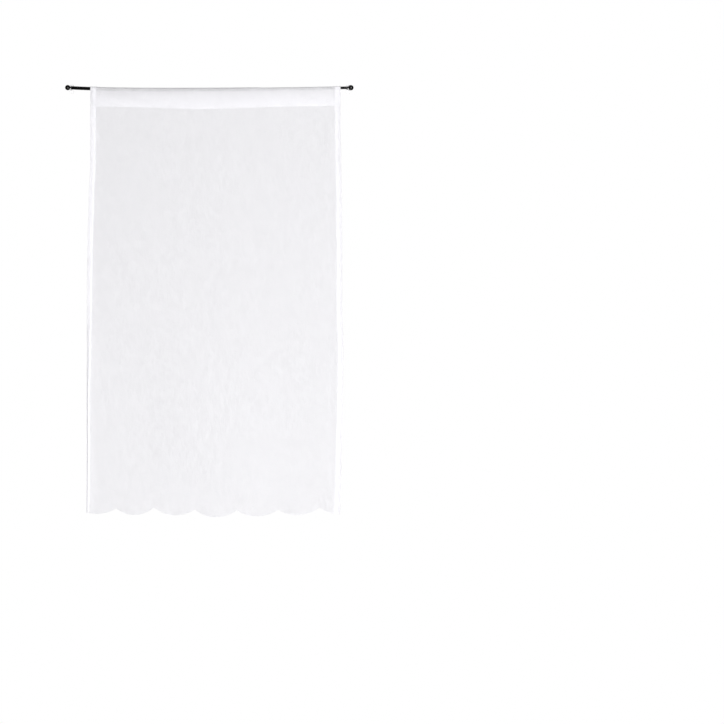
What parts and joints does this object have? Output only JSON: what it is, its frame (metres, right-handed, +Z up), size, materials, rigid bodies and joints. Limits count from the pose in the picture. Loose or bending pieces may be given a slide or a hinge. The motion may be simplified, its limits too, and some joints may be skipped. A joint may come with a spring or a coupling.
{
  "type": "cafe curtain on a rod",
  "caption": "Sheer cafe curtain with a rod pocket, narrow side hems and a scalloped lower edge, hung on a slim extending rod with ball ends in small hooks.",
  "frame": {"origin": "middle of the left hook's flat back face, level with the finials' necks in the hooks", "axes": "+X along the rod to the right as seen from the room, +Y out of the hooks' backs towards the window, +Z up"},
  "size_m": [0.6028, 0.0262, 0.9061],
  "materials": {
    "cloth": "sheer slubbed plain weave, white, matt",
    "rod": "gloss black lacquer",
    "hook": "white, satin"
  },
  "bodies": {
    "root": {"curtain": "cloth", "rod_outer_tube": "rod", "rod_inner_tube": "rod", "finial_left": "rod", "finial_right": "rod", "hook_left": "hook", "hook_right": "hook"}
  },
  "joints": []
}
